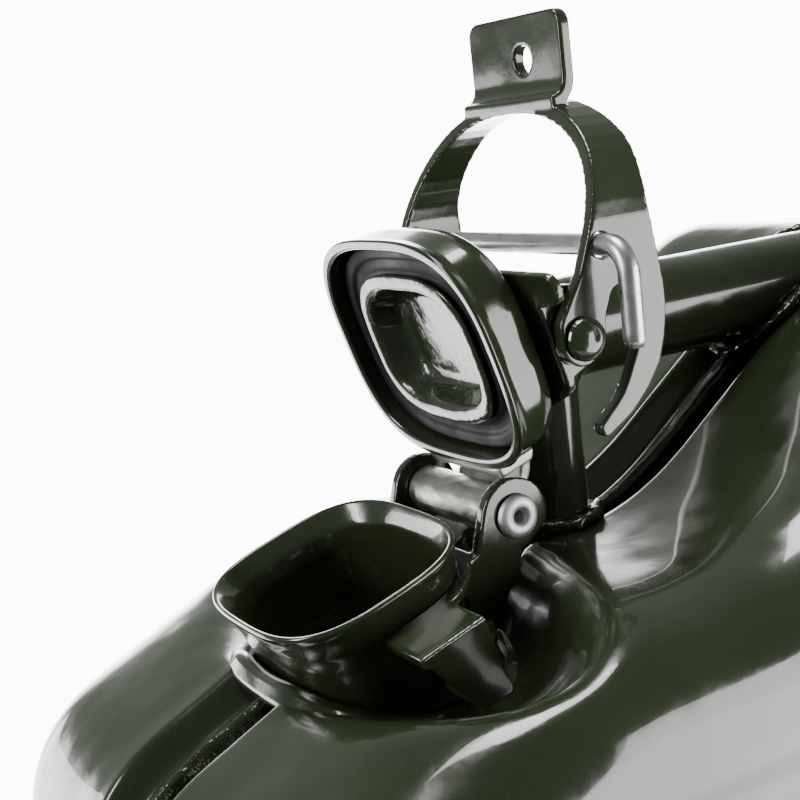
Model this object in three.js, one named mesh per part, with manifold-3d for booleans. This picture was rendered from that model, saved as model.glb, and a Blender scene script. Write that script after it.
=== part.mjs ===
import * as THREE from 'three';
import { mergeVertices } from 'three/addons/utils/BufferGeometryUtils.js';
import Module from 'manifold-3d';

const wasm = await Module();
wasm.setup();

// Millimetres. X runs from the spout end to the hump end, +Y is the far side, +Z is up.
// Shapes are drawn about the lid hinge axis and moved to the can by HINGE_X and HINGE_Z.
const CAN_HALF_LENGTH = 142.5;
const CAN_HALF_WIDTH = 67.5;
const HINGE_X = -56.5;
const HINGE_Z = 304;
const SHEET = 1.2;
const GAP = 0.3;
const EDGE_IN = 18;
const EDGE_ACROSS = 25;

// Recess that runs round the can between the two half shells.
const GROOVE_DEPTH = 5.5;
const GROOVE_FLOOR = 6.5;
const GROOVE_TOP = 9.5;
const SEAM_HALF = 1.2;
const SEAM_PROUD = 3.2;

// Filler neck, tilted towards the spout end.
const MOUTH_X = -31.9;
const MOUTH_Z = -5.0;
const MOUTH_TILT = 0.3;
const LIP_A = 21;
const LIP_B = 26;
const TUBE_A = 18.5;
const TUBE_B = 23.5;
const TUBE_WALL = 1.6;
const NECK_SEAT = 30;
const NECK_INSIDE = 14;
const OVAL_POWER = 3.06;

// Closure.
const EAR_IN = 15.2;
const EAR_OUT = 17.7;
const PIN_R = 2.6;
const LID_A = 23.5;
const LID_B = 28.4;
const LID_TOP = 8;
const LID_RIM = -3;
const CHEEK_IN = 31.5;
const CHEEK_OUT = 34.1;
const RIVET_X = 7.7;
const RIVET_Z = 34;
const ROD_X = 13.5;
const ROD_Z = 50;
const ROD_R = 2.0;
const LEG_Y = -41;
const ARCH_Z = 50;
const ARCH_TOP = 77;
const ARCH_POWER = 2.25;
const TAB_X = 22.2;
const TAB_BEND = 3;
const TAB_HALF = 15.7;
const TAB_TOP = 93;

// Handle tube.
const TUBE_R = 10.5;
const TUBE_Z = 30.3;
const LEG_X = 19.8;
const LEG_HALF = 7;

function solid(geometry) {
  const plain = geometry.clone();
  plain.deleteAttribute('normal');
  plain.deleteAttribute('uv');
  const g = mergeVertices(plain, 1e-4);
  return new wasm.Manifold(new wasm.Mesh({
    numProp: 3,
    vertProperties: new Float32Array(g.attributes.position.array),
    triVerts: new Uint32Array(g.index.array),
  }));
}

function shapeOf(points) {
  return new THREE.Shape(points.map((p) => new THREE.Vector2(p[0], p[1])));
}

// Closed outline with a rounded corner at every [x, z, radius].
function rounded(corners, steps) {
  const out = [];
  const n = corners.length;
  for (let i = 0; i < n; i += 1) {
    const p = new THREE.Vector2(corners[i][0], corners[i][1]);
    const a = new THREE.Vector2(...corners[(i + n - 1) % n]).sub(p).normalize();
    const b = new THREE.Vector2(...corners[(i + 1) % n]).sub(p).normalize();
    const half = Math.acos(THREE.MathUtils.clamp(a.dot(b), -1, 1)) / 2;
    const r = corners[i][2];
    const reach = r / Math.tan(half);
    const mid = a.clone().add(b).normalize();
    const centre = p.clone().addScaledVector(mid, r / Math.sin(half));
    const from = p.clone().addScaledVector(a, reach).sub(centre);
    const to = p.clone().addScaledVector(b, reach).sub(centre);
    let turn = Math.atan2(to.y, to.x) - Math.atan2(from.y, from.x);
    if (turn > Math.PI) turn -= 2 * Math.PI;
    if (turn < -Math.PI) turn += 2 * Math.PI;
    const count = Math.max(2, Math.ceil(steps * Math.abs(turn) / Math.PI));
    for (let k = 0; k <= count; k += 1) {
      const q = from.clone().rotateAround(new THREE.Vector2(0, 0), turn * k / count);
      out.push([centre.x + q.x, centre.y + q.y]);
    }
  }
  return out;
}

// Counter-clockwise outline moved outwards by d.
function grown(points, d) {
  const n = points.length;
  return points.map((p, i) => {
    const a = points[(i + n - 1) % n];
    const b = points[(i + 1) % n];
    const e1 = new THREE.Vector2(p[0] - a[0], p[1] - a[1]).normalize();
    const e2 = new THREE.Vector2(b[0] - p[0], b[1] - p[1]).normalize();
    const m = new THREE.Vector2(e1.y + e2.y, -e1.x - e2.x).normalize();
    const k = d / Math.max(0.3, m.x * e1.y - m.y * e1.x);
    return [p[0] + m.x * k, p[1] + m.y * k];
  });
}

function oval(a, b, steps = 36, power = OVAL_POWER) {
  const out = [];
  for (let i = 0; i < steps; i += 1) {
    const t = 2 * Math.PI * i / steps;
    const c = Math.cos(t);
    const s = Math.sin(t);
    out.push([
      a * Math.sign(c) * Math.abs(c) ** (2 / power),
      b * Math.sign(s) * Math.abs(s) ** (2 / power),
    ]);
  }
  return out;
}

// Outline in X and Z, pushed along Y from y0 to y1.
function acrossY(points, y0, y1, options = {}) {
  const g = new THREE.ExtrudeGeometry(shapeOf(points), {
    depth: y1 - y0, bevelEnabled: false, ...options,
  });
  g.rotateX(Math.PI / 2);
  g.translate(0, y1, 0);
  return solid(g);
}

// Outline in U and Y, pushed along the mouth's normal from n0 to n1, in mouth coordinates.
function alongN(points, n0, n1, options = {}) {
  const g = new THREE.ExtrudeGeometry(shapeOf(points), {
    depth: n1 - n0, bevelEnabled: false, curveSegments: 10, ...options,
  });
  g.translate(0, 0, n0);
  return solid(g);
}

function boxOf(x0, x1, y0, y1, z0, z1) {
  const g = new THREE.BoxGeometry(x1 - x0, y1 - y0, z1 - z0);
  g.translate((x0 + x1) / 2, (y0 + y1) / 2, (z0 + z1) / 2);
  return solid(g);
}

// Turned profile [radius, y] about a line parallel to Y through x, z.
function turnedY(profile, x, z, steps = 24) {
  const g = new THREE.LatheGeometry(profile.map((p) => new THREE.Vector2(p[0], p[1])), steps);
  g.translate(x, 0, z);
  return solid(g);
}

function rodY(r, y0, y1, x, z, steps = 24) {
  return turnedY([[0, y0], [r, y0], [r, y1], [0, y1]], x, z, steps);
}

const TILT_DEG = -MOUTH_TILT * 180 / Math.PI;
function atMouth(m) {
  return m.rotate([0, TILT_DEG, 0]).translate([MOUTH_X, 0, MOUTH_Z]);
}

// The lid is drawn closed on the mouth and stands open by a quarter turn.
function opened(m) {
  return atMouth(m).rotate([0, 90, 0]);
}

const group = new THREE.Group();
const palette = {
  green: new THREE.MeshStandardMaterial({ color: 0x3d4630, metalness: 0.1, roughness: 0.25 }),
  rubber: new THREE.MeshStandardMaterial({ color: 0x15161a, metalness: 0, roughness: 0.7 }),
  zinc: new THREE.MeshStandardMaterial({ color: 0xd8d8d8, metalness: 0.9, roughness: 0.3 }),
  steel: new THREE.MeshStandardMaterial({ color: 0xaeb0b0, metalness: 1, roughness: 0.3 }),
};

function place(name, manifold, material) {
  const m = manifold.getMesh();
  const g = new THREE.BufferGeometry();
  g.setAttribute('position', new THREE.BufferAttribute(new Float32Array(m.vertProperties), 3));
  g.setIndex(new THREE.BufferAttribute(new Uint32Array(m.triVerts), 1));
  g.computeVertexNormals();
  const mesh = new THREE.Mesh(g, palette[material]);
  mesh.name = name;
  mesh.position.set(HINGE_X, 0, HINGE_Z);
  group.add(mesh);
}

// Side profile of the can.
const left = -CAN_HALF_LENGTH - HINGE_X;
const right = CAN_HALF_LENGTH - HINGE_X;
const side = rounded([
  [left, -HINGE_Z, 36],
  [right, -HINGE_Z, 36],
  [right, 29, 36],
  [103, 42, 22],
  [32, -9, 60],
  [-17, -9, 50],
  [left, -41, 32],
], 13);

// Body of the can at a given distance inside its outer surface.
function canBody(inset) {
  const w = CAN_HALF_WIDTH - inset;
  const across = EDGE_ACROSS - inset;
  const within = EDGE_IN - inset;
  return acrossY(grown(side, -inset), -w + across, w - across, {
    bevelEnabled: true,
    bevelThickness: across,
    bevelSize: within,
    bevelOffset: -within,
    bevelSegments: 5,
  });
}

// Ring that the groove takes out of the body, at a given distance below its surface.
function grooveRing(inset) {
  const shift = inset * 0.8;
  const outline = grown(side, -inset);
  const core = acrossY(grown(outline, -GROOVE_DEPTH), -30, 30);
  const slope = GROOVE_TOP - GROOVE_FLOOR;
  const flankShape = {
    bevelEnabled: true,
    bevelThickness: slope,
    bevelSize: GROOVE_DEPTH,
    bevelOffset: -GROOVE_DEPTH,
    bevelSegments: 2,
  };
  const near = acrossY(outline, -20, -GROOVE_TOP - shift, flankShape);
  const far = acrossY(outline, GROOVE_TOP + shift, 20, flankShape);
  const band = acrossY(grown(side, 3), -GROOVE_TOP - shift, GROOVE_TOP + shift);
  return band.subtract(core).subtract(near).subtract(far);
}

// Dish pressed into the top where the neck stands: steep in front, easing out behind.
function seatDish(inset) {
  const profile = [];
  for (let i = 0; i <= 14; i += 1) {
    profile.push(new THREE.Vector2(Math.sin(Math.PI / 2 * i / 14), 0));
  }
  profile.push(new THREE.Vector2(1, 60), new THREE.Vector2(0, 60));
  const g = new THREE.LatheGeometry(profile, 40);
  g.rotateX(Math.PI / 2);
  const at = g.attributes.position;
  for (let i = 0; i < at.count; i += 1) {
    const x = at.getX(i);
    const y = at.getY(i);
    const high = at.getZ(i);
    const rho = Math.min(1, Math.hypot(x, y));
    const power = x > 0 ? 4 - 1.9 * Math.min(1, x * 2) : 4;
    const drop = 58 * Math.max(0, 1 - rho ** power) ** (1 / power);
    at.setX(i, 12 + x * ((x > 0 ? 31 : 33) + inset));
    at.setY(i, y * (60 + inset));
    at.setZ(i, high > 1 ? high : 58 - NECK_SEAT - drop * (1 + inset / 58));
  }
  return atMouth(solid(g));
}

// Diagonal cross pressed into each flat side.
function sidePress(inset) {
  const bars = [];
  const cx = (left + right) / 2;
  for (const y of [-1, 1]) {
    for (const turn of [-1, 1]) {
      const g = new THREE.ExtrudeGeometry(shapeOf(rounded([
        [-112, -9, 8.5], [112, -9, 8.5], [112, 9, 8.5], [-112, 9, 8.5],
      ], 8)), {
        depth: 3, bevelEnabled: true, bevelThickness: 1.6,
        bevelSize: 1.6 + inset, bevelOffset: 0, bevelSegments: 1,
      });
      g.translate(0, 0, 1.6);
      g.rotateZ(turn * 0.82);
      g.rotateX(y < 0 ? Math.PI / 2 : -Math.PI / 2);
      g.translate(cx, y * (CAN_HALF_WIDTH - 1.7 - inset), -178);
      bars.push(solid(g));
    }
  }
  return bars.reduce((a, b) => a.add(b));
}

// Blank raised pad on each flat side.
const PAD = rounded([[-12, -62, 5], [34, -62, 5], [34, -40, 5], [-12, -40, 5]], 8);
const pads = acrossY(PAD, -CAN_HALF_WIDTH + 0.2, CAN_HALF_WIDTH - 0.2, {
  bevelEnabled: true, bevelThickness: 1.1, bevelSize: 1.6, bevelSegments: 1,
}).subtract(boxOf(-300, 300, -CAN_HALF_WIDTH + 1, CAN_HALF_WIDTH - 1, -300, 200));

const outside = canBody(0).subtract(grooveRing(0)).subtract(seatDish(0)).subtract(sidePress(0))
  .add(pads);
const inside = canBody(SHEET).subtract(grooveRing(SHEET)).subtract(seatDish(SHEET))
  .subtract(sidePress(SHEET));

const tubeHole = atMouth(alongN(oval(TUBE_A + GAP, TUBE_B + GAP), -60, 40));
const shell = outside.subtract(inside).subtract(tubeHole);
const seamRoom = SEAM_HALF + GAP;
place('near_shell', shell.intersect(boxOf(-300, 300, -100, -seamRoom, -400, 200)), 'green');
place('far_shell', shell.intersect(boxOf(-300, 300, seamRoom, 100, -400, 200)), 'green');

const seamOuter = acrossY(grown(side, -GROOVE_DEPTH + SEAM_PROUD), -SEAM_HALF, SEAM_HALF)
  .subtract(seatDish(-SEAM_PROUD));
const seamInner = acrossY(grown(side, -GROOVE_DEPTH - SHEET - 1), -5, 5)
  .subtract(seatDish(SHEET + 1));
const neckRoom = atMouth(alongN(oval(TUBE_A + 4.9, TUBE_B + 4.9), -60, 20));
place('seam_weld', seamOuter.subtract(seamInner).subtract(neckRoom), 'green');

// Everything within a given distance of the can, with and without its seam weld.
function above(d) {
  return canBody(-d).subtract(grooveRing(-d)).subtract(seatDish(-d));
}

function aboveSeam(d) {
  const ridge = acrossY(grown(side, -GROOVE_DEPTH + SEAM_PROUD + d), -SEAM_HALF - d, SEAM_HALF + d);
  return above(d).add(ridge);
}

// Filler neck: oval tube with a rolled lip and a swaged foot.
const bore = alongN(oval(TUBE_A - TUBE_WALL, TUBE_B - TUBE_WALL), -80, 10);
const lip = alongN(oval(LIP_A, LIP_B), -2.4, -0.8, {
  bevelEnabled: true, bevelThickness: 0.8, bevelSize: 0.8, bevelOffset: -0.8, bevelSegments: 2,
});
const flare = alongN(oval(TUBE_A + 1.2, TUBE_B + 1.2), -5.4, -3.2, {
  bevelEnabled: true, bevelThickness: 1.2, bevelSize: 1.2, bevelOffset: -1.2, bevelSegments: 1,
});
const tube = alongN(oval(TUBE_A, TUBE_B), -NECK_SEAT - NECK_INSIDE, -1);
place('filler_neck', atMouth(tube.add(lip).add(flare).subtract(bore)), 'green');

// Raised ring pressed round the neck where it meets the shells.
const collar = alongN(oval(TUBE_A + 4.6, TUBE_B + 4.6), -NECK_SEAT - 8, 2)
  .subtract(alongN(oval(TUBE_A + GAP, TUBE_B + GAP), -80, 10));
place('neck_collar', atMouth(collar).intersect(above(2.2)).subtract(above(GAP)), 'green');

// Closure bracket: collar strap, back plate, two hinge ears and two catch lugs.
const STRAP_TOP = -7.0;
const STRAP_BOTTOM = -9.4;
const FOOT_TOP = -20.6;
const FOOT_BOTTOM = -22.8;
const LUG_OUT = 37.6;
const strapRing = alongN(oval(TUBE_A + 3, TUBE_B + 3), STRAP_BOTTOM, STRAP_TOP)
  .intersect(boxOf(-5, 60, -60, 60, -30, 10));
const footRing = alongN(oval(TUBE_A + 3, TUBE_B + 3), FOOT_BOTTOM, FOOT_TOP)
  .intersect(boxOf(2, 60, -60, 60, -30, 10));
let bracket = strapRing.add(footRing);
for (const s of [-1, 1]) {
  const ys = (y0, y1) => [Math.min(s * y0, s * y1), Math.max(s * y0, s * y1)];
  bracket = bracket.add(boxOf(-5, 9, ...ys(20, LUG_OUT), STRAP_BOTTOM, STRAP_TOP));
  bracket = bracket.add(boxOf(2, 9, ...ys(20, LUG_OUT), FOOT_BOTTOM, FOOT_TOP));
  const web = solid(new THREE.ExtrudeGeometry(shapeOf([
    [9, FOOT_BOTTOM], [9, STRAP_TOP], [-5, STRAP_TOP], [2, FOOT_BOTTOM],
  ]), { depth: 2.4, bevelEnabled: false }).rotateX(Math.PI / 2).translate(0, 2.4, 0));
  bracket = bracket.add(web.translate([0, s > 0 ? LUG_OUT - 2.4 : -LUG_OUT, 0]));
}
bracket = bracket.add(boxOf(TUBE_A + 0.4, TUBE_A + 2.9, -EAR_OUT, EAR_OUT, FOOT_BOTTOM, STRAP_TOP));
bracket = atMouth(bracket);
const earOutline = [];
for (let i = 0; i <= 12; i += 1) {
  const t = -0.35 + 3.1 * i / 12;
  earOutline.push([7.4 * Math.cos(t), 7.4 * Math.sin(t)]);
}
earOutline.push([-9.6, -6.5], [-19, -13], [-14, -26], [-8.6, -24.4], [1.2, -7.5]);
for (const s of [-1, 1]) {
  const y0 = s > 0 ? EAR_IN : -EAR_OUT;
  const y1 = s > 0 ? EAR_OUT : -EAR_IN;
  bracket = bracket.add(acrossY(earOutline, y0, y1));
}
bracket = bracket.subtract(rodY(PIN_R + GAP, -30, 30, 0, 0))
  .subtract(atMouth(alongN(oval(TUBE_A + GAP, TUBE_B + GAP), -60, -4.1)))
  .subtract(atMouth(alongN(oval(LIP_A + GAP, LIP_B + GAP), -4.1, 20)))
  .subtract(above(2.5));
place('closure_bracket', bracket, 'green');

// Weld beads that hold the bracket's strap to the sides of the neck.
for (const s of [-1, 1]) {
  const bead = alongN(oval(TUBE_A + 2.4, TUBE_B + 2.4), STRAP_BOTTOM - 2.6, STRAP_BOTTOM - GAP - 0.5, {
    bevelEnabled: true, bevelThickness: 0.5, bevelSize: 0.7, bevelOffset: -0.7, bevelSegments: 1,
  });
  const cut = bead.subtract(alongN(oval(TUBE_A + GAP, TUBE_B + GAP), -60, 10))
    .intersect(boxOf(-3, 8, s > 0 ? 0 : -60, s > 0 ? 60 : 0, -30, 10));
  place(s > 0 ? 'bracket_weld_far' : 'bracket_weld_near', atMouth(cut), 'green');
}

// Tubular hinge rivet with a rolled head at each end.
const head = EAR_OUT + GAP;
place('hinge_pin', turnedY([
  [1.2, -head - 1.2], [3.0, -head - 1.7], [4.3, -head - 1.1], [4.5, -head],
  [PIN_R, -head], [PIN_R, head], [4.0, head], [3.8, head + 1.0], [1.2, head + 1.2], [1.2, -head - 1.2],
], 0, 0, 28), 'zinc');

// Lid: deep skirted cap with a rolled edge.
const capOuter = alongN(oval(LID_A, LID_B), LID_RIM, LID_TOP - 2.5, {
  bevelEnabled: true, bevelThickness: 2.5, bevelSize: 2.5, bevelOffset: -2.5, bevelSegments: 3,
}).subtract(boxOf(-60, 60, -60, 60, LID_RIM - 10, LID_RIM));
const capEdge = alongN(oval(LID_A + 0.9, LID_B + 0.9), LID_RIM + 0.5, LID_RIM + 1.3, {
  bevelEnabled: true, bevelThickness: 0.5, bevelSize: 0.5, bevelOffset: -0.5, bevelSegments: 1,
});
const capInner = alongN(oval(LID_A - 1.3, LID_B - 1.3), LID_RIM - 10, LID_TOP - 3, {
  bevelEnabled: true, bevelThickness: 1.7, bevelSize: 1.7, bevelOffset: -1.7, bevelSegments: 2,
});
place('lid_cap', opened(capOuter.add(capEdge).subtract(capInner)), 'green');

// Moulded sealing ring, its face just above the lip when the lid is shut.
const ringOuter = alongN(oval(LID_A - 1.9, LID_B - 1.9), GAP, LID_TOP - 3.4, {
  bevelEnabled: true, bevelThickness: 0.9, bevelSize: 0.9, bevelOffset: -0.9, bevelSegments: 2,
}).subtract(boxOf(-60, 60, -60, 60, -10, GAP));
const ringInner = alongN(oval(14.5, 18.6), -10, 20);
const ringStep = alongN(oval(LID_A - 4, LID_B - 4.2), -5, 1.3)
  .subtract(alongN(oval(LID_A - 5.6, LID_B - 6), -6, 3));
place('lid_gasket', opened(ringOuter.subtract(ringInner).subtract(ringStep)), 'rubber');

// Pressed dish that holds the ring's inner edge.
const cup = alongN(oval(14.1, 18.2), -0.6, LID_TOP - 1.3 - GAP - 0.9, {
  bevelEnabled: true, bevelThickness: 0.9, bevelSize: 0.9, bevelOffset: -0.9, bevelSegments: 2,
});
const cupLip = alongN(oval(16, 20), -1.3, -0.6, {
  bevelEnabled: true, bevelThickness: 0.6, bevelSize: 0.8, bevelOffset: -0.8, bevelSegments: 2,
});
const cupWell = alongN(oval(12, 15.8), -9, 3.4, {
  bevelEnabled: true, bevelThickness: 1.4, bevelSize: 1.4, bevelOffset: -1.4, bevelSegments: 2,
});
place('gasket_retainer', opened(cup.add(cupLip).subtract(cupWell)), 'green');

// Lid bracket: plate on the cap's back with two rivet ears and two stop tabs.
const PLATE_BOTTOM = LID_TOP + GAP;
const PLATE_TOP = PLATE_BOTTOM + 1.7;
const rivetU = (RIVET_X * Math.sin(MOUTH_TILT) - RIVET_Z * Math.cos(MOUTH_TILT))
  + (-MOUTH_X * Math.cos(MOUTH_TILT) - MOUTH_Z * Math.sin(MOUTH_TILT));
const rivetN = (RIVET_X * Math.cos(MOUTH_TILT) + RIVET_Z * Math.sin(MOUTH_TILT))
  + (MOUTH_X * Math.sin(MOUTH_TILT) - MOUTH_Z * Math.cos(MOUTH_TILT));
let plate = alongN(rounded([
  [-13, -30.9, 3], [11, -30.9, 3], [19, -13, 6], [19, 13, 6], [11, 30.9, 3], [-13, 30.9, 3],
], 10), PLATE_BOTTOM, PLATE_TOP);
for (const s of [-1, 1]) {
  const y0 = s > 0 ? 28.7 : -30.9;
  const ear = rounded([
    [rivetU - 12.5, PLATE_BOTTOM, 1], [rivetU + 7, PLATE_BOTTOM, 1],
    [rivetU + 5.6, rivetN + 5.6, 5], [rivetU - 8, rivetN + 5.6, 4],
  ], 12);
  plate = plate.add(acrossY(ear, y0, y0 + 2.2));
  const tab = rounded([
    [rivetU - 14.6, s * 26, 0.5], [rivetU - 8.6, s * 26, 0.5],
    [rivetU - 8.6, s * 37.8, 2.9], [rivetU - 14.6, s * 37.8, 2.9],
  ], 12);
  plate = plate.add(alongN(s > 0 ? tab : tab.reverse(), PLATE_BOTTOM, PLATE_TOP));
}
const lidBracket = opened(plate).subtract(rodY(PIN_R + GAP, -60, 60, RIVET_X, RIVET_Z));
place('lid_bracket', lidBracket, 'green');

// Hinge strap: rolled round the hinge rivet and ribbed down its middle.
const strapPath = opened(acrossY([
  [19.8, PLATE_BOTTOM], [28.2, 3.4], [33.4, -0.6], [34.6, 1.4], [28.8, 5.8], [20.6, PLATE_TOP],
  [19.8, PLATE_TOP],
], -11, 11));
const barrel = rodY(4.9, -14.7, 14.7, 0, 0);
const strapFoot = opened(alongN([[19.4, -11], [22.5, -11], [22.5, 11], [19.4, 11]], PLATE_BOTTOM, PLATE_TOP));
const strapWall = opened(acrossY([
  [LID_A + 0.6, -2], [LID_A + 2.8, -2], [LID_A + 2.8, 6], [LID_A + 0.6, 7],
], -13, 13));
const rib = opened(acrossY([
  [20, PLATE_TOP - 0.4], [30.4, 3.4], [32.4, 4.4], [21, PLATE_TOP + 1.4],
], -1.8, 1.8));
const strap = strapPath.add(barrel).add(strapFoot).add(strapWall).add(rib)
  .subtract(opened(alongN(oval(LID_A + GAP, LID_B + GAP), -1, PLATE_BOTTOM)))
  .subtract(opened(alongN(oval(LID_A + 1.2, LID_B + 1.2), -10, -0.9)))
  .subtract(rodY(PIN_R + GAP, -60, 60, 0, 0));
place('hinge_strap', strap, 'steel');

// Lever: one bent strip that arches from hooked cheek to hooked cheek, with a thumb tab.
function archOutline(halfWidth, top) {
  const out = [[halfWidth, 0]];
  for (let i = 0; i <= 26; i += 1) {
    const t = Math.PI * i / 26;
    const c = Math.cos(t);
    const r = Math.abs(Math.sin(t)) ** (2 / ARCH_POWER);
    out.push([halfWidth * Math.sign(c) * Math.abs(c) ** (2 / ARCH_POWER), ARCH_Z + (top - ARCH_Z) * r]);
  }
  out.push([-halfWidth, 0]);
  return out;
}

// Outline in Y and Z, pushed along X from x0 to x1.
function alongX(points, x0, x1, options = {}) {
  const g = new THREE.ExtrudeGeometry(shapeOf(points), {
    depth: x1 - x0, bevelEnabled: false, curveSegments: 8, ...options,
  });
  g.rotateX(Math.PI / 2);
  g.rotateZ(Math.PI / 2);
  g.translate(x0, 0, 0);
  return solid(g);
}

const strip = alongX(archOutline(CHEEK_OUT, ARCH_TOP), -10, 60)
  .subtract(alongX(archOutline(CHEEK_IN, ARCH_TOP - CHEEK_OUT + CHEEK_IN), -20, 70));
const cheek = rounded([
  [8.4, 45.6, 3], [3.0, 37.2, 3.5], [3.0, 31.4, 4], [7.6, 28.0, 3.6], [12.4, 31.6, 3],
  [13.2, 37.4, 3], [15.4, 42.6, 1.8], [19.2, 41.4, 2.2], [20.2, 31.4, 8], [15.6, 22.6, 12],
  [9.4, 17.2, 0.9], [10.9, 14.9, 0.9], [17.6, 18.6, 14], [25.2, 26.2, 16], [27.4, 38.2, 22],
  [24.8, 56, 30], [26.8, 68, 8], [26.8, 90, 1], [22.4, 90, 1], [20.2, 77, 4], [16.4, 66, 20],
], 10);
let fork = strip.intersect(acrossY(cheek, -60, 60));
const tabX = TAB_X - TAB_BEND;
const bendBlock = rodY(TAB_BEND + CHEEK_OUT - CHEEK_IN, -TAB_HALF, TAB_HALF, tabX, ARCH_TOP + TAB_BEND)
  .subtract(rodY(TAB_BEND, -60, 60, tabX, ARCH_TOP + TAB_BEND))
  .intersect(boxOf(tabX, 60, -60, 60, 0, ARCH_TOP + TAB_BEND));
const tabPlate = rounded([
  [-TAB_HALF, ARCH_TOP + TAB_BEND - 0.1, 0.1], [TAB_HALF, ARCH_TOP + TAB_BEND - 0.1, 0.1],
  [TAB_HALF, TAB_TOP, 3.2], [-TAB_HALF, TAB_TOP, 3.2],
], 12);
const tabSheet = alongX(tabPlate, TAB_X, TAB_X + CHEEK_OUT - CHEEK_IN);
const tabHole = new THREE.CylinderGeometry(2.9, 2.9, 40, 20).rotateZ(Math.PI / 2).translate(TAB_X, -2.8, 84.4);
fork = fork.add(bendBlock).add(tabSheet)
  .subtract(solid(tabHole))
  .subtract(rodY(PIN_R + GAP, -60, 60, RIVET_X, RIVET_Z))
  .subtract(rodY(ROD_R + GAP, -60, 60, ROD_X, ROD_Z));
place('lever_fork', fork, 'green');

// Domed pivot rivets, headed outside the cheeks.
for (const s of [-1, 1]) {
  const dome = [[0, s * 28.2], [PIN_R, s * 28.2], [PIN_R, s * 34.4], [4.1, s * 34.4], [3.9, s * 35.3],
    [2.9, s * 36.3], [1.4, s * 36.9], [0, s * 37]];
  if (s < 0) dome.reverse();
  place(s > 0 ? 'lever_rivet_far' : 'lever_rivet_near', turnedY(dome, RIVET_X, RIVET_Z, 24), 'green');
}

// Locking pin: round wire through both cheeks, its near end bent down.
const bend = 5;
const corner = [];
for (let i = 0; i <= 6; i += 1) {
  const t = Math.PI / 2 * i / 6;
  corner.push(new THREE.Vector3(ROD_X, LEG_Y + bend - bend * Math.sin(t), ROD_Z - bend + bend * Math.cos(t)));
}
const wireCurve = new THREE.CatmullRomCurve3([
  new THREE.Vector3(ROD_X, 35.4, ROD_Z), new THREE.Vector3(ROD_X, 10, ROD_Z),
  new THREE.Vector3(ROD_X, -20, ROD_Z), ...corner,
  new THREE.Vector3(ROD_X, LEG_Y, ROD_Z - 12), new THREE.Vector3(ROD_X, LEG_Y, ROD_Z - 18.4),
], false, 'centripetal');
const wireRound = [];
for (let i = 0; i < 12; i += 1) {
  wireRound.push([ROD_R * Math.cos(2 * Math.PI * i / 12), ROD_R * Math.sin(2 * Math.PI * i / 12)]);
}
const wireBody = solid(new THREE.ExtrudeGeometry(shapeOf(wireRound), {
  steps: 24, extrudePath: wireCurve, bevelEnabled: false,
}));
const upset = turnedY([[0, 34.5], [2.5, 34.5], [3.1, 35.2], [2.4, 36.2], [0, 36.4]], ROD_X, ROD_Z, 16);
place('locking_pin', wireBody.add(upset), 'zinc');

// Handle: one thick tube from the hump, with a flattened leg down to the top.
const handleBar = solid(new THREE.CylinderGeometry(TUBE_R, TUBE_R, 120 - LEG_X, 28)
  .rotateZ(Math.PI / 2).translate((120 + LEG_X) / 2, 0, TUBE_Z));
const handleNose = solid(new THREE.SphereGeometry(1, 28, 18)
  .scale(LEG_HALF, TUBE_R, TUBE_R).translate(LEG_X, 0, TUBE_Z));
const legSolid = solid(new THREE.CylinderGeometry(1, 1, TUBE_Z + 30, 28)
  .rotateX(Math.PI / 2).scale(LEG_HALF, TUBE_R, 1).translate(LEG_X, 0, (TUBE_Z - 30) / 2));
const handle = handleBar.add(handleNose).add(legSolid).subtract(aboveSeam(GAP))
  .intersect(boxOf(-100, 103, -60, 60, -30, 100));
const handleParts = handle.decompose().sort((a, b) => b.volume() - a.volume());
place('handle_tube', handleParts[0], 'green');

// Weld beads round the two ends of the handle.
const frontBead = solid(new THREE.CylinderGeometry(1, 1, 60, 28)
  .rotateX(Math.PI / 2).scale(LEG_HALF + 2.6, TUBE_R + 2.6, 1).translate(LEG_X, 0, 0));
const frontHole = solid(new THREE.CylinderGeometry(1, 1, 80, 28)
  .rotateX(Math.PI / 2).scale(LEG_HALF + GAP, TUBE_R + GAP, 1).translate(LEG_X, 0, 0));
const frontWeld = frontBead.subtract(frontHole).subtract(aboveSeam(GAP)).intersect(aboveSeam(2.4))
  .decompose().sort((a, b) => b.volume() - a.volume());
place('handle_front_weld', frontWeld[0], 'green');
const rearBead = solid(new THREE.CylinderGeometry(TUBE_R + 2.6, TUBE_R + 2.6, 80, 28)
  .rotateZ(Math.PI / 2).translate(80, 0, TUBE_Z));
const rearHole = solid(new THREE.CylinderGeometry(TUBE_R + GAP, TUBE_R + GAP, 120, 28)
  .rotateZ(Math.PI / 2).translate(80, 0, TUBE_Z));
const rearWeld = rearBead.subtract(rearHole).subtract(aboveSeam(GAP)).intersect(aboveSeam(2.4))
  .decompose().sort((a, b) => b.volume() - a.volume());
place('handle_rear_weld', rearWeld[0], 'green');

export default group;
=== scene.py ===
import math
import bmesh
import bpy
import numpy as np
from mathutils import Matrix


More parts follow.
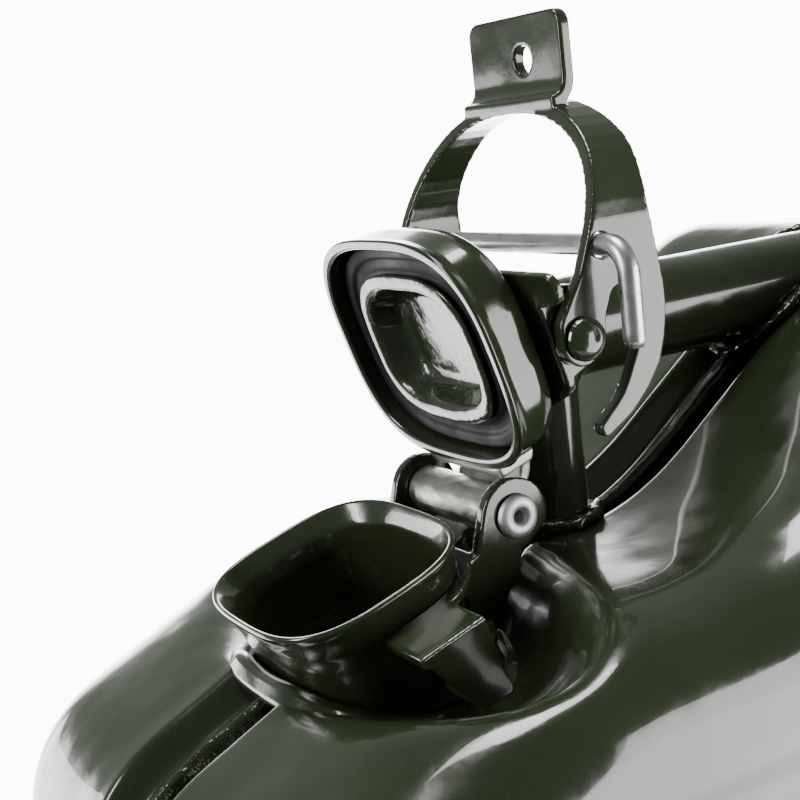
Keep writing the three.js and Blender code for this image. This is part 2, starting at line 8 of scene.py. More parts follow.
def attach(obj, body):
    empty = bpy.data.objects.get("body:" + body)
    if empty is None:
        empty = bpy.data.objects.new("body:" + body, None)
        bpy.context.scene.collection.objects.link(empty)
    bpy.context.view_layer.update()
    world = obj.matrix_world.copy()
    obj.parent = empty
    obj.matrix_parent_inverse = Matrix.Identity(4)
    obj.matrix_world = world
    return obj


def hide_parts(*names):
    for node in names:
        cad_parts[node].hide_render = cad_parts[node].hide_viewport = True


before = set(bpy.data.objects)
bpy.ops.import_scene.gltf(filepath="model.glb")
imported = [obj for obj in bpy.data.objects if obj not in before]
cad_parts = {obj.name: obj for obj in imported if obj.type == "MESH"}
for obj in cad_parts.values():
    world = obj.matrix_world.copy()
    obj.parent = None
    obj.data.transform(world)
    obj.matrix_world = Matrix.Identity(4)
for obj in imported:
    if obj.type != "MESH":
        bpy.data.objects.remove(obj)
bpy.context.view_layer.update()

# Shapes are drawn in millimetres about the lid hinge axis: +X to the hump, +Y far side, +Z up.
HINGE = np.array([-56.5, 0.0, 304.0])
HALF_LENGTH = 142.5
HALF_WIDTH = 67.5
EDGE_IN = 18.0
EDGE_ACROSS = 25.0
GROOVE = 5.5
MOUTH = np.array([-31.9, -5.0])
TILT = 0.3
# Dish the neck stands in: centre and reaches along the mouth's plane, and its depth along the normal.
DISH_CENTRE = 12.0
DISH_BACK = 31.0
DISH_FRONT = 33.0
DISH_HALF_WIDTH = 60.0
DISH_RADIUS = 58.0
DISH_TOP = 28.0
TOP_FROM = -52.0
TUBE_A, TUBE_B = 18.5, 23.5
LID_A, LID_B = 23.5, 28.4
POWER = 3.06


def to_metres(points):
    return (np.asarray(points, float) + HINGE) / 1000.0


def smooth_step(a, b, x):
    t = np.clip((x - a) / (b - a), 0, 1)
    return t * t * (3 - 2 * t)


def soft_min(a, b, k):
    h = np.clip(0.5 + 0.5 * (b - a) / k, 0, 1)
    return b * (1 - h) + a * h - k * h * (1 - h)


def rounded(corners, steps):
    """Closed outline with a rounded corner at every (x, z, radius)."""
    out = []
    n = len(corners)
    for i in range(n):
        p = np.array(corners[i][:2], float)
        a = np.array(corners[i - 1][:2], float) - p
        b = np.array(corners[(i + 1) % n][:2], float) - p
        a /= np.linalg.norm(a)
        b /= np.linalg.norm(b)
        half = math.acos(np.clip(a @ b, -1, 1)) / 2
        r = corners[i][2]
        reach = r / math.tan(half)
        mid = (a + b) / np.linalg.norm(a + b)
        centre = p + mid * r / math.sin(half)
        first = p + a * reach - centre
        last = p + b * reach - centre
        turn = math.atan2(last[1], last[0]) - math.atan2(first[1], first[0])
        turn = (turn + math.pi) % (2 * math.pi) - math.pi
        for k in range(steps + 1):
            t = turn * k / steps
            c, s = math.cos(t), math.sin(t)
            out.append(centre + np.array([first[0] * c - first[1] * s, first[0] * s + first[1] * c]))
    return np.array(out)


def even(points, count):
    """The same closed line with points at even distances."""
    p = np.vstack([points, points[:1]])
    d = np.r_[0, np.cumsum(np.linalg.norm(np.diff(p, axis=0), axis=1))]
    t = np.linspace(0, d[-1], count + 1)[:count]
    return np.stack([np.interp(t, d, p[:, i]) for i in range(p.shape[1])], axis=1)


def relaxed(points, rounds):
    """A closed line with its curvature evened out."""
    for _ in range(rounds):
        points = 0.5 * points + 0.25 * (np.roll(points, 1, 0) + np.roll(points, -1, 0))
    return points


def outward(points):
    t = np.roll(points, -1, 0) - np.roll(points, 1, 0)
    t /= np.linalg.norm(t, axis=1)[:, None]
    return np.stack([t[:, 1], -t[:, 0]], axis=1)


def superellipse(a, b, steps, power=POWER):
    t = np.linspace(0, 2 * math.pi, steps, endpoint=False)
    c, s = np.cos(t), np.sin(t)
    ring = np.stack([np.sign(c) * np.abs(c) ** (2 / power), np.sign(s) * np.abs(s) ** (2 / power)], 1)
    return even(ring * [a, b], steps)


def from_mouth(u, y, n):
    """Mouth coordinates to hinge coordinates, the lid shut."""
    c, s = math.cos(TILT), math.sin(TILT)
    return np.stack([MOUTH[0] + u * c - n * s, y, MOUTH[1] + u * s + n * c], axis=-1)


def opened(p):
    """The lid's quarter turn from shut to open."""
    return np.stack([p[..., 2], p[..., 1], -p[..., 0]], axis=-1)


def ripple(p, length, seed):
    """Smooth seeded noise between about -1 and 1 for an array of points."""
    rng = np.random.default_rng(seed)
    total = np.zeros(p.shape[:-1])
    for _ in range(9):
        d = rng.normal(size=3)
        d /= np.linalg.norm(d)
        w = 2 * math.pi / (length * rng.uniform(0.6, 1.7))
        total += np.sin(p @ d * w + rng.uniform(0, 6.28))
    return total / 3.5


def grid_faces(rows, cols, wrap_rows, wrap_cols):
    r = np.arange(rows if wrap_rows else rows - 1)
    c = np.arange(cols if wrap_cols else cols - 1)
    r, c = np.meshgrid(r, c, indexing="ij")
    r2, c2 = (r + 1) % rows, (c + 1) % cols
    quads = [r * cols + c, r2 * cols + c, r2 * cols + c2, r * cols + c2]
    return np.stack(quads, axis=-1).reshape(-1, 4)


def add_mesh(name, points, faces, body, nodes, material):
    """A named piece from points in hinge coordinates, riding on a CAD body."""
    data = bpy.data.meshes.new(name)
    data.from_pydata(to_metres(points).tolist(), [], [list(map(int, f)) for f in faces])
    data.validate()
    data.shade_smooth()
    piece = bpy.data.objects.new(name, data)
    bpy.context.scene.collection.objects.link(piece)
    return settle(piece, body, nodes, material)


def settle(piece, body, nodes, material):
    piece.data.materials.clear()
    piece.data.materials.append(material)
    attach(piece, body)
    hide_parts(*nodes)
    return piece


def face_outwards(piece):
    bm = bmesh.new()
    bm.from_mesh(piece.data)
    bmesh.ops.recalc_face_normals(bm, faces=bm.faces)
    bm.to_mesh(piece.data)
    bm.free()
    return piece


# Materials ------------------------------------------------------------------

def shader(name):
    m = bpy.data.materials.new(name)
    m.use_nodes = True
    tree = m.node_tree
    return m, tree, tree.nodes["Principled BSDF"]


def noise(tree, scale, detail=3.0, rough=0.5, stretch=None):
    coords = tree.nodes.new("ShaderNodeTexCoord")
    source = coords.outputs["Object"]
    if stretch:
        mapping = tree.nodes.new("ShaderNodeMapping")
        mapping.inputs["Scale"].default_value = stretch
        tree.links.new(source, mapping.inputs["Vector"])
        source = mapping.outputs["Vector"]
    tex = tree.nodes.new("ShaderNodeTexNoise")
    tex.inputs["Scale"].default_value = scale
    tex.inputs["Detail"].default_value = detail
    tex.inputs["Roughness"].default_value = rough
    tree.links.new(source, tex.inputs["Vector"])
    return tex.outputs["Fac"]


def ramp(tree, source, stops):
    node = tree.nodes.new("ShaderNodeValToRGB")
    r = node.color_ramp
    while len(r.elements) < len(stops):
        r.elements.new(0.5)
    for e, (pos, color) in zip(r.elements, stops):
        e.position = pos
        e.color = (*color, 1)
    tree.links.new(source, node.inputs["Fac"])
    return node.outputs["Color"]


def grey(tree, source, low, high, a=0.3, b=0.7):
    node = tree.nodes.new("ShaderNodeMapRange")
    node.inputs["From Min"].default_value = a
    node.inputs["From Max"].default_value = b
    node.inputs["To Min"].default_value = low
    node.inputs["To Max"].default_value = high
    tree.links.new(source, node.inputs["Value"])
    return node.outputs["Result"]


def mixed(tree, factor, a, b):
    node = tree.nodes.new("ShaderNodeMix")
    node.data_type = "RGBA"
    tree.links.new(factor, node.inputs["Factor"])
    for source, socket in ((a, node.inputs["A"]), (b, node.inputs["B"])):
        if isinstance(source, tuple):
            socket.default_value = (*source, 1)
        else:
            tree.links.new(source, socket)
    return node.outputs["Result"]


def bumps(tree, bsdf, layers):
    """Stacks bump layers given as (source, depth in metres)."""
    last = None
    for source, depth in layers:
        node = tree.nodes.new("ShaderNodeBump")
        node.inputs["Strength"].default_value = 1.0
        node.inputs["Distance"].default_value = depth
        tree.links.new(source, node.inputs["Height"])
        if last:
            tree.links.new(last, node.inputs["Normal"])
        last = node.outputs["Normal"]
    tree.links.new(last, bsdf.inputs["Normal"])


def pointy(tree, low, high):
    geo = tree.nodes.new("ShaderNodeNewGeometry")
    return grey(tree, geo.outputs["Pointiness"], 0, 1, low, high)


def paint(name, lumps=0.0, wave=0.00025):
    m, tree, bsdf = shader(name)
    base = ramp(tree, noise(tree, 22, 4), [(0.3, (0.020, 0.029, 0.011)), (0.7, (0.029, 0.040, 0.017))])
    dust = grey(tree, noise(tree, 900, 2, 0.7), 0, 0.3, 0.66, 0.78)
    base = mixed(tree, dust, base, (0.07, 0.08, 0.055))
    edge = tree.nodes.new("ShaderNodeMath")
    edge.operation = "MULTIPLY"
    tree.links.new(pointy(tree, 0.53, 0.62), edge.inputs[0])
    tree.links.new(grey(tree, noise(tree, 160, 3), 0.0, 0.5, 0.42, 0.62), edge.inputs[1])
    base = mixed(tree, edge.outputs[0], base, (0.10, 0.11, 0.075))
    tree.links.new(base, bsdf.inputs["Base Color"])
    tree.links.new(grey(tree, noise(tree, 60, 5, 0.6), 0.13, 0.26), bsdf.inputs["Roughness"])
    bsdf.inputs["Coat Weight"].default_value = 0.7
    bsdf.inputs["Coat Roughness"].default_value = 0.03
    bsdf.inputs["Specular IOR Level"].default_value = 0.6
    layers = [(noise(tree, 38, 2), wave * 6), (noise(tree, 420, 2), 0.000035)]
    if lumps:
        layers.append((noise(tree, 230, 3, 0.6), lumps))
    bumps(tree, bsdf, layers)
    return m


def metal(name, low, high, rough, scratch):
    m, tree, bsdf = shader(name)
    tone = ramp(tree, noise(tree, 90, 5, 0.6), [(0.3, low), (0.7, high)])
    tree.links.new(tone, bsdf.inputs["Base Color"])
    bsdf.inputs["Metallic"].default_value = 1.0
    tree.links.new(grey(tree, noise(tree, 300, 4), rough[0], rough[1]), bsdf.inputs["Roughness"])
    fine = noise(tree, 260, 3, 0.6, (1, 0.06, 1))
    bumps(tree, bsdf, [(noise(tree, 120, 3), 0.00012), (fine, scratch)])
    return m


def make_rubber():
    m, tree, bsdf = shader("gasket_rubber")
    tone = ramp(tree, noise(tree, 70, 5, 0.65), [(0.35, (0.006, 0.006, 0.008)), (0.75, (0.018, 0.018, 0.021))])
    tree.links.new(tone, bsdf.inputs["Base Color"])
    tree.links.new(grey(tree, noise(tree, 110, 4), 0.55, 0.8), bsdf.inputs["Roughness"])
    bumps(tree, bsdf, [(noise(tree, 140, 3), 0.00025), (noise(tree, 900, 2), 0.00003)])
    return m


PAINT = paint("olive_enamel")
THICK = paint("olive_enamel_over_weld", lumps=0.0009)
LUMPY = paint("olive_enamel_lumpy", lumps=0.0004)
ZINC = metal("bright_zinc", (0.56, 0.57, 0.58), (0.78, 0.79, 0.80), (0.24, 0.42), 0.00006)
HEAD = metal("white_zinc", (0.72, 0.73, 0.74), (0.86, 0.87, 0.88), (0.42, 0.6), 0.00003)
# Painted reflection: the hinge strap gets a pale grey metal colour whose lightness stands in for the bright
# reflection the strap shows.
STRAP_PALE_REFLECTION = metal("strap_steel_painted_reflection", (0.34, 0.37, 0.31), (0.62, 0.64, 0.59), (0.3, 0.5), 0.00005)
RUBBER = make_rubber()


# Can shells -------------------------------------------------------------------

LEFT = -HALF_LENGTH - HINGE[0]
RIGHT = HALF_LENGTH - HINGE[0]
SIDE = rounded([
    (LEFT, -HINGE[2], 36), (RIGHT, -HINGE[2], 36), (RIGHT, 29, 36), (103, 42, 22),
    (32, -9, 60), (-17, -9, 50), (LEFT, -41, 32),
], 40)
SIDE = relaxed(even(SIDE, 860), 14)
SIDE_OUT = outward(SIDE)


def dished(p):
    """Points of the top lowered into the dish that the neck stands in."""
    c, s = math.cos(TILT), math.sin(TILT)
    dx, dz = p[..., 0] - MOUTH[0], p[..., 2] - MOUTH[1]
    u = dx * c + dz * s
    n = -dx * s + dz * c
    x = (u - DISH_CENTRE) / np.where(u > DISH_CENTRE, DISH_BACK, DISH_FRONT)
    rho = np.hypot(x, p[..., 1] / DISH_HALF_WIDTH)
    power = np.where(x > 0, 4 - 1.9 * np.clip(x * 2, 0, 1), 4.0)
    bowl = np.clip(1 - np.clip(rho, 0, 1) ** power, 1e-9, 1) ** (1 / power)
    floor = np.where(rho < 0.995, DISH_TOP - DISH_RADIUS * bowl, DISH_TOP + 90 * (rho - 0.995))
    lowered = soft_min(n, floor, 9.0)
    drop = np.where(n > TOP_FROM, n - lowered, 0.0)
    out = p.copy()
    out[..., 0] += drop * s
    out[..., 2] -= drop * c
    return out


def eased(sheet, rounds):
    """Rounds over the rim of the dish, as the edge of a pressing is."""
    c, s = math.cos(TILT), math.sin(TILT)
    dx, dz = sheet[..., 0] - MOUTH[0], sheet[..., 2] - MOUTH[1]
    u, n = dx * c + dz * s, -dx * s + dz * c
    y = np.abs(sheet[..., 1])
    share = smooth_step(80, 62, np.hypot(u - DISH_CENTRE, y))
    share = share * smooth_step(11.5, 17, y) * smooth_step(-60, -50, n)
    for _ in range(rounds):
        beside = np.roll(sheet, 1, axis=1) + np.roll(sheet, -1, axis=1)
        above = np.concatenate([sheet[1:], sheet[-1:]]) + np.concatenate([sheet[:1], sheet[:-1]])
        move = ((beside + above) / 4 - sheet) * (0.7 * share)[..., None]
        move[..., 1] = 0
        sheet = sheet + move
    return sheet


PAD_MIDDLE = (11.0, -51.0)
PAD_HALF = (19.0, 7.0)
PAD_HEIGHT = 0.9
CROSS_MIDDLE = (56.5, -178.0)
CROSS_ARM = 103.5
CROSS_TURN = 0.82
CROSS_DEPTH = 1.6


def pressed(x, z):
    """How far the flat side stands out: the blank pad up, the diagonal cross down."""
    pad = np.maximum(np.abs(x - PAD_MIDDLE[0]) - PAD_HALF[0], np.abs(z - PAD_MIDDLE[1]) - PAD_HALF[1])
    height = PAD_HEIGHT * (1 - smooth_step(3.6, 6.4, pad))
    cx, cz = CROSS_MIDDLE
    for turn in (CROSS_TURN, -CROSS_TURN):
        a = (x - cx) * math.cos(turn) + (z - cz) * math.sin(turn)
        b = -(x - cx) * math.sin(turn) + (z - cz) * math.cos(turn)
        d = np.hypot(np.maximum(np.abs(a) - CROSS_ARM, 0), b)
        height = np.minimum(height, height - CROSS_DEPTH * (1 - smooth_step(6.5, 11.5, d)) * (height <= 0.0))
    return np.maximum(height, -CROSS_DEPTH)


# Points of the shells' tops, kept so that the collar can follow them.
SKIN = []


def shell_half(sign, name, node):
    across = [1.45, 2.0, 3.0, 4.0, 5.0, 5.6, 6.2, 6.8, 7.4, 8.0, 8.6, 9.2, 9.8, 10.4, 11.0, 12.0, 13.5, 15.5]
    across += list(np.linspace(18, 42.5, 18))
    across += list(42.5 + EDGE_ACROSS * np.sin(np.linspace(0, math.pi / 2, 25)[1:]))
    across = np.array(across)
    over = np.clip((across - 42.5) / EDGE_ACROSS, 0, 1)
    inset = EDGE_IN * (1 - np.sqrt(1 - over ** 2)) + GROOVE * (1 - smooth_step(5.6, 11.0, across))
    rows = []
    for y, d in zip(across, inset):
        ring = SIDE - SIDE_OUT * d
        rows.append(np.stack([ring[:, 0], np.full(len(ring), sign * y), ring[:, 1]], axis=1))
    rows = list(eased(dished(np.stack(rows)), 22))
    rim = rows[-1]
    middle = np.array([56.0, sign * HALF_WIDTH, -140.0])
    steps = np.linspace(0, 1, 112)[1:-1]
    for t in steps:
        ring = rim + (middle - rim) * t
        lift = pressed(ring[:, 0], ring[:, 2]) * smooth_step(0.0, 0.02, t)
        ring = ring.copy()
        ring[:, 1] = rim[:, 1] + sign * lift
        rows.append(ring)
    points = np.concatenate(rows)
    count = len(SIDE)
    SKIN.append(np.concatenate([r for r, y in zip(rows, across) if 11 < y < 66]))
    faces = grid_faces(len(rows), count, False, True).tolist()
    last = (len(rows) - 1) * count
    faces += [[last + i, last + (i + 1) % count, len(points)] for i in range(count)]
    points = np.vstack([points, middle])
    waves = ripple(points, 46.0, 3) * 0.10 + ripple(points, 17.0, 5) * 0.03
    points[:, 2] += waves * smooth_step(-120, -20, points[:, 2])
    return face_outwards(add_mesh(name, points, faces, "can", [node], PAINT))


shell_half(-1, "near_half_shell_skin", "near_shell")
shell_half(1, "far_half_shell_skin", "far_shell")


def seam_bead():
    """The weld that closes the two halves, run along the groove from behind the neck to its front."""
    line = even(SIDE, 2600)
    out = outward(line)
    c, s = math.cos(TILT), math.sin(TILT)
    dx, dz = line[:, 0] - MOUTH[0], line[:, 1] - MOUTH[1]
    u, n = dx * c + dz * s, -dx * s + dz * c
    gone = (np.abs(u) < TUBE_A + 2.5) & (n > -60)
    start = int(np.argmax(gone & ~np.roll(gone, -1))) + 1
    line, out, gone = (np.roll(a, -start, 0) for a in (line, out, gone))
    line, out = line[~gone], out[~gone]
    section = [(-2.6, 6.4), (-1.9, 5.3), (-1.55, 4.2), (-1.3, 3.2), (-0.75, 2.55), (0, 2.35),
               (0.75, 2.55), (1.3, 3.2), (1.55, 4.2), (1.9, 5.3), (2.6, 6.4)]
    rows = []
    where = np.stack([line[:, 0], np.zeros(len(line)), line[:, 1]], axis=1)
    wob = ripple(where, 16.0, 11) * 0.32
    tall = ripple(where, 9.0, 12) * 0.22 + ripple(where, 4.2, 14) * 0.12
    for y, d in section:
        lift = (6.4 - d) / 4.05
        at = line - out * (d - tall * lift * 0.6)[:, None]
        rows.append(np.stack([at[:, 0], y + wob * lift, at[:, 1]], axis=1))
    points = dished(np.stack(rows, axis=1))
    count = len(section)
    faces = grid_faces(len(line), count, False, False)
    add_mesh("seam_weld_bead", points.reshape(-1, 3), faces, "can", ["seam_weld"], THICK)


seam_bead()


# Lofted oval pieces: a profile of (growth, n) pairs swept round an oval ----------

def soften(profile, radius, closed=True, steps=5):
    p = [np.array(q, float) for q in profile]
    n = len(p)
    out = []
    for i in range(n):
        if not closed and i in (0, n - 1):
            out.append(p[i])
            continue
        a, b = p[i - 1] - p[i], p[(i + 1) % n] - p[i]
        la, lb = np.linalg.norm(a), np.linalg.norm(b)
        r = min(radius, la * 0.45, lb * 0.45)
        q0, q1 = p[i] + a / la * r, p[i] + b / lb * r
        for k in range(steps + 1):
            t = k / steps
            out.append((1 - t) ** 2 * q0 + 2 * t * (1 - t) * p[i] + t ** 2 * q1)
    return out


def oval_loft(name, a, b, profile, place, body, nodes, material, closed=True, steps=160, rough=0.0):
    rows = []
    for grow, n in profile:
        ring = superellipse(a + grow, b + grow, steps)
        rows.append(place(ring[:, 0], ring[:, 1], np.full(steps, float(n))))
    points = np.stack(rows, axis=0)
    if rough:
        points = points + ripple(points, 7.0, 21)[..., None] * rough
    faces = grid_faces(len(rows), steps, closed, True).tolist()
    if not closed:
        faces.append(list(range(steps)))
        faces.append(list(range((len(rows) - 1) * steps, len(rows) * steps))[::-1])
    return face_outwards(add_mesh(name, points.reshape(-1, 3), faces, body, nodes, material))


def open_lid(u, y, n):
    return opened(from_mouth(u, y, n))


neck = soften([(-1.6, -42), (-1.6, -7.5), (-0.9, -3.6), (0.9, -1.0), (1.6, -0.1), (2.2, 0.0), (2.5, -0.6),
               (2.3, -1.6), (1.5, -3.4), (0.5, -7.0), (0.0, -11), (0.0, -24), (0.9, -28.5), (0.9, -42)], 0.9)
oval_loft("filler_neck_tube", TUBE_A, TUBE_B, neck, from_mouth, "can", ["filler_neck"], PAINT)

cap = soften([(-22.9, 6.5), (-4.5, 6.5), (-2.4, 5.6), (-1.3, 3.0), (-1.3, -2.6), (-0.6, -3.0), (0.6, -3.0),
              (0.95, -2.6), (0.75, -2.0), (0.0, -0.6), (0.0, 4.2), (-1.0, 7.0), (-3.5, 8.0), (-22.9, 8.0)],
             0.8, closed=False)
oval_loft("lid_cap_pressing", LID_A, LID_B, cap, open_lid, "lid", ["lid_cap"], PAINT, closed=False)

ring = soften([(-1.8, 1.0), (-1.8, 5.2), (-9.2, 5.2), (-9.2, 1.4), (-8.4, 0.4), (-7.4, 0.3), (-6.6, 1.1),
               (-5.0, 1.3), (-4.3, 0.4), (-2.4, 0.3)], 0.5)
oval_loft("lid_gasket_ring", LID_A, LID_B, ring, open_lid, "lid", ["lid_gasket"], RUBBER)

dish = soften([(-13.8, 4.9), (-5.4, 4.9), (-3.8, 4.0), (-2.6, 1.6), (-1.6, -0.5), (-0.6, -1.25), (0.9, -1.3),
               (1.85, -0.9), (1.7, -0.2), (0.0, -0.1), (0.0, 6.0), (-13.8, 6.0)], 0.9, closed=False)
oval_loft("gasket_retainer_dish", 14.1, 18.2, dish, open_lid, "lid", ["gasket_retainer"], LUMPY,
          closed=False, rough=0.05)


def skin_height(u, y):
    """Height of the dished top along the mouth's normal at u, y, read off the shell skins."""
    c, s = math.cos(TILT), math.sin(TILT)
    p = np.concatenate(SKIN)
    dx, dz = p[:, 0] - MOUTH[0], p[:, 2] - MOUTH[1]
    pu, pn = dx * c + dz * s, -dx * s + dz * c
    near = (np.abs(pu) < 45) & (np.abs(p[:, 1]) < 50) & (pn > -60) & (pn < 20)
    pu, py, pn = pu[near], p[near, 1], pn[near]
    out = np.empty(len(u))
    for i in range(len(u)):
        d = (pu - u[i]) ** 2 + (py - y[i]) ** 2
        pick = np.argpartition(d, 8)[:8]
        w = 1 / (d[pick] + 0.05)
        out[i] = (pn[pick] * w).sum() / w.sum()
    return out


def collar_ring():
    """Raised ring pressed round the neck's foot, following the dish."""
    rows = []
    for grow, lift in [(0.35, -1.6), (0.35, 1.4), (0.6, 2.0), (1.2, 2.3), (2.0, 2.35), (2.9, 2.1), (3.6, 1.5),
                       (4.3, 0.8), (5.0, 0.25), (5.6, -0.3), (5.6, -1.6)]:
        ring = superellipse(TUBE_A + grow, TUBE_B + grow, 160)
        base = superellipse(TUBE_A + 2.6, TUBE_B + 2.6, 160)
        n = 0.5 * skin_height(ring[:, 0], ring[:, 1]) + 0.5 * skin_height(base[:, 0], base[:, 1])
        for _ in range(30):
            n = 0.5 * n + 0.25 * (np.roll(n, 1) + np.roll(n, -1))
        rows.append(from_mouth(ring[:, 0], ring[:, 1], n + lift))
    points = np.concatenate(rows)
    faces = grid_faces(len(rows), 160, True, True)
    face_outwards(add_mesh("neck_collar_ring", points, faces, "can", ["neck_collar"], PAINT))


collar_ring()


# Sheet-metal pieces: the CAD solid, with its edges drawn soft as under thick paint --

LUMP_SIZE = 4.0


def softened(node, name, body, material, voxel, rounds, lumps=0.0):
    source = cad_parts[node]
    data = source.data.copy()
    data.name = name
    piece = bpy.data.objects.new(name, data)
    bpy.context.scene.collection.objects.link(piece)
    remesh = piece.modifiers.new("remesh", "REMESH")
    remesh.mode = "VOXEL"
    remesh.voxel_size = voxel / 1000.0
    smooth = piece.modifiers.new("smooth", "SMOOTH")
    smooth.factor = 0.5
    smooth.iterations = rounds
    bpy.context.view_layer.update()
    made = bpy.data.meshes.new_from_object(piece.evaluated_get(bpy.context.evaluated_depsgraph_get()))
    piece.modifiers.clear()
    piece.data = made
    made.name = name
    if lumps:
        co = np.array([v.co[:] for v in made.vertices]) * 1000.0
        normals = np.array([v.normal[:] for v in made.vertices])
        co += normals * (ripple(co, LUMP_SIZE, 31) * lumps)[:, None]
        made.vertices.foreach_set("co", (co / 1000.0).ravel())
    made.shade_smooth()
    return settle(piece, body, [node], material)


softened("closure_bracket", "closure_bracket_pressing", "can", PAINT, 0.4, 5)
softened("bracket_weld_near", "bracket_braze_near", "can", THICK, 0.3, 4, lumps=0.25)
softened("bracket_weld_far", "bracket_braze_far", "can", THICK, 0.3, 4, lumps=0.25)
softened("handle_front_weld", "handle_front_bead", "can", THICK, 0.4, 5, lumps=0.35)
softened("handle_rear_weld", "handle_rear_bead", "can", THICK, 0.4, 5, lumps=0.35)
softened("lid_bracket", "lid_bracket_pressing", "lid", PAINT, 0.35, 4)
# The strap's pale grey colour is a painted reflection.
softened("hinge_strap", "hinge_strap_pressing", "lid", STRAP_PALE_REFLECTION, 0.35, 5, lumps=0.05)
softened("lever_fork", "lever_fork_pressing", "lever", PAINT, 0.35, 6)


# Turned and bent pieces ---------------------------------------------------------

def turned(name, profile, x, z, body, nodes, material, closed=False, steps=72):
    """Profile of (radius, y) turned about a line along Y through x, z."""
    t = np.linspace(0, 2 * math.pi, steps, endpoint=False)
    rows = [np.stack([x + r * np.cos(t), np.full(steps, y), z + r * np.sin(t)], axis=1) for r, y in profile]
    faces = grid_faces(len(rows), steps, closed, True).tolist()
    if not closed:
        faces.append(list(range(steps)))
        faces.append(list(range((len(rows) - 1) * steps, len(rows) * steps))[::-1])
    return face_outwards(add_mesh(name, np.concatenate(rows), faces, body, nodes, material))


head = 18.0
rivet = soften([(1.25, -head - 1.0), (1.9, -head - 1.55), (3.0, -head - 1.7), (4.1, -head - 1.2),
                (4.4, -head - 0.2), (4.3, -head), (2.6, -head), (2.6, head), (4.0, head),
                (3.8, head + 0.9), (1.25, head + 1.1)], 0.5)
turned("hinge_rivet", rivet, 0.0, 0.0, "can", ["hinge_pin"], HEAD, closed=True)

for s, side in ((-1, "near"), (1, "far")):
    dome = soften([(0.05, s * 28.3), (2.6, s * 28.3), (2.6, s * 34.45), (3.9, s * 34.45), (4.1, s * 34.8),
                   (3.7, s * 35.8), (2.5, s * 36.6), (1.1, s * 36.95), (0.05, s * 37.0)], 0.5, closed=False)
    turned(f"lever_rivet_{side}_dome", dome, 7.7, 34.0, "lid", [f"lever_rivet_{side}"], PAINT)


def swept(name, path, radii, body, nodes, material, steps=40, wide=None):
    """Round section swept along a path in a plane or in space, wide giving its other half width."""
    path = np.asarray(path, float)
    t = np.gradient(path, axis=0)
    t /= np.linalg.norm(t, axis=1)[:, None]
    side = np.array([1.0, 0, 0]) if wide is None else np.array([0, 1.0, 0])
    up = np.cross(t, side)
    up /= np.linalg.norm(up, axis=1)[:, None]
    a = np.linspace(0, 2 * math.pi, steps, endpoint=False)
    other = radii if wide is None else wide
    rows = [p + np.outer(np.cos(a), side) * w + np.outer(np.sin(a), v) * r
            for p, v, r, w in zip(path, up, radii, other)]
    faces = grid_faces(len(rows), steps, False, True).tolist()
    faces.append(list(range(steps)))
    faces.append(list(range((len(rows) - 1) * steps, len(rows) * steps))[::-1])
    return face_outwards(add_mesh(name, np.concatenate(rows), faces, body, nodes, material))


bend = 5.0
t = np.linspace(0, math.pi / 2, 14)
wire = [(13.5, y, 50.0) for y in np.linspace(35.9, -36.0, 30)]
wire += [(13.5, -36.0 - bend * math.sin(k), 45.0 + bend * math.cos(k)) for k in t[1:]]
wire += [(13.5, -41.0, z) for z in np.linspace(44.0, 32.0, 10)]
thick = np.full(len(wire), 2.0)
thick[0], thick[-1] = 1.5, 1.6
swept("locking_pin_wire", wire, thick, "pin", ["locking_pin"], ZINC)

t = np.linspace(math.pi, math.pi / 2, 22)
bar = [(19.8, 0, z) for z in np.linspace(-11.0, 19.0, 14)]
bar += [(30.8 + 11.0 * math.cos(k), 0, 19.3 + 11.0 * math.sin(k)) for k in t]
bar += [(x, 0, 30.3) for x in np.linspace(33.0, 102.5, 30)]
bar = np.array(bar)
run = np.r_[0, np.cumsum(np.linalg.norm(np.diff(bar, axis=0), axis=1))]
deep = 7.0 + 3.5 * smooth_step(27.0, 46.0, run)
swept("handle_bent_tube", bar, deep, "can", ["handle_tube"], PAINT, steps=96,
      wide=np.full(len(bar), 10.5))


# Studio ---------------------------------------------------------------------------

def make_floor():
    data = bpy.data.meshes.new("studio_floor")
    t = np.linspace(0, 2 * math.pi, 96, endpoint=False)
    rim = [(0.42 * math.cos(k), 0.42 * math.sin(k), -0.001) for k in t]
    low = [(x, y, -0.02) for x, y, _ in rim]
    walls = [(i, 96 + i, 96 + (i + 1) % 96, (i + 1) % 96) for i in range(96)]
    data.from_pydata(rim + low, [], [tuple(range(96))] + walls)
    floor = bpy.data.objects.new("studio_floor", data)
    bpy.context.scene.collection.objects.link(floor)
    m, tree, bsdf = shader("pale_paper")
    tone = ramp(tree, noise(tree, 3, 3), [(0.3, (0.78, 0.78, 0.77)), (0.7, (0.84, 0.84, 0.83))])
    tree.links.new(tone, bsdf.inputs["Base Color"])
    bsdf.inputs["Roughness"].default_value = 0.7
    data.materials.append(m)


make_floor()

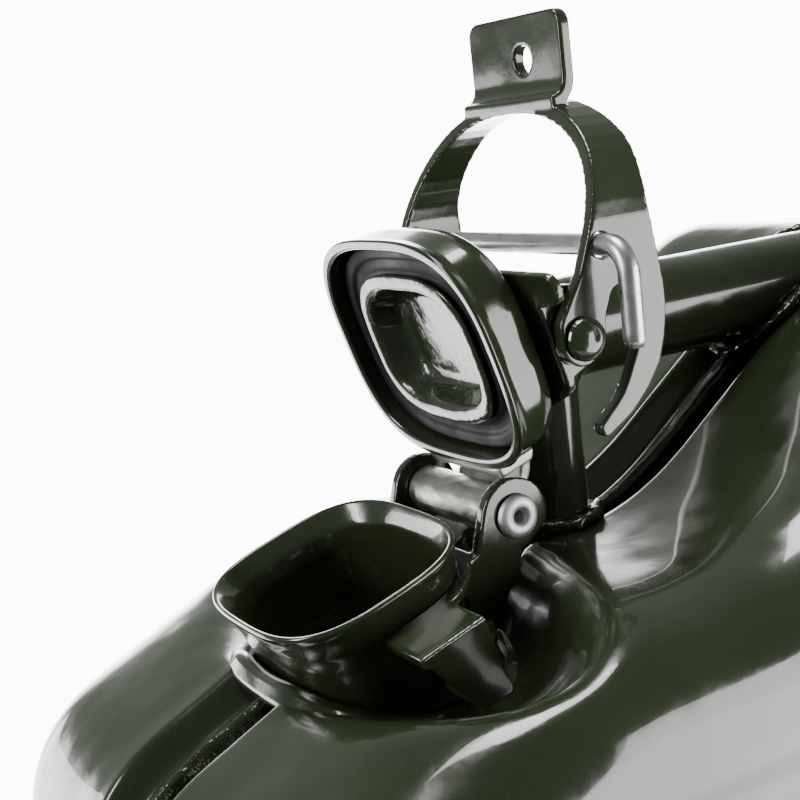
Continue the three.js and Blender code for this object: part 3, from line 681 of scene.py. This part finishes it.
# Focal length as a multiple of the sensor's width, and the sensor's width in millimetres.
FOCAL_WIDTHS = 1.74875
SENSOR = 36.0
YAW, PITCH, ROLL = 1.0729, 0.1924, 0.12
forward = np.array([math.cos(PITCH) * math.cos(YAW), math.cos(PITCH) * math.sin(YAW), -math.sin(PITCH)])
right = np.array([math.sin(YAW), -math.cos(YAW), 0.0])
down = np.cross(forward, right)
right, down = (math.cos(ROLL) * right + math.sin(ROLL) * down,
               -math.sin(ROLL) * right + math.cos(ROLL) * down)
place = to_metres([-139.19, -233.58, 74.80])
camera = bpy.data.objects.new("camera", bpy.data.cameras.new("camera"))
camera.data.sensor_width = SENSOR
camera.data.lens = SENSOR * FOCAL_WIDTHS
camera.data.clip_start = 0.01
turn = Matrix([[right[i], -down[i], -forward[i], place[i]] for i in range(3)] + [[0, 0, 0, 1]])
camera.matrix_world = turn
bpy.context.scene.collection.objects.link(camera)
bpy.context.scene.camera = camera


def softbox(name, at, target, width, height, watts):
    data = bpy.data.lights.new(name, "AREA")
    data.shape = "RECTANGLE"
    data.size = width
    data.size_y = height
    data.energy = watts
    light = bpy.data.objects.new(name, data)
    at, target = np.array(at, float), np.array(target, float)
    z = (at - target) / np.linalg.norm(at - target)
    x = np.cross([0, 0, 1.0], z)
    x = x / np.linalg.norm(x) if np.linalg.norm(x) > 1e-6 else np.array([1.0, 0, 0])
    y = np.cross(z, x)
    light.matrix_world = Matrix([[x[i], y[i], z[i], at[i]] for i in range(3)] + [[0, 0, 0, 1]])
    bpy.context.scene.collection.objects.link(light)
    return light


softbox("side_panel", (0.95, -1.05, -0.05), (0.05, 0, 0.28), 1.3, 1.5, 44)
softbox("top_panel", (-0.05, 0.1, 1.35), (0, 0, 0.3), 0.5, 0.35, 9)
softbox("left_strip", (-1.3, 0.25, 0.75), (0, 0, 0.32), 0.25, 0.8, 12)
softbox("far_panel", (-0.62, 1.1, 0.02), (-0.04, 0, 0.36), 0.7, 0.8, 12)

world = bpy.data.worlds.new("studio")
bpy.context.scene.world = world
world.use_nodes = True
tree = world.node_tree
back = tree.nodes["Background"]
coords = tree.nodes.new("ShaderNodeTexCoord")
facing = tree.nodes.new("ShaderNodeVectorMath")
facing.operation = "DOT_PRODUCT"
facing.inputs[1].default_value = tuple(forward)
tree.links.new(coords.outputs["Generated"], facing.inputs[0])
shade = ramp(tree, facing.outputs["Value"], [(0.0, (0.010, 0.011, 0.010)), (0.80, (0.035, 0.037, 0.035)),
                                             (0.915, (1.0, 1.0, 1.0))])
tree.links.new(shade, back.inputs["Color"])
back.inputs["Strength"].default_value = 12.0
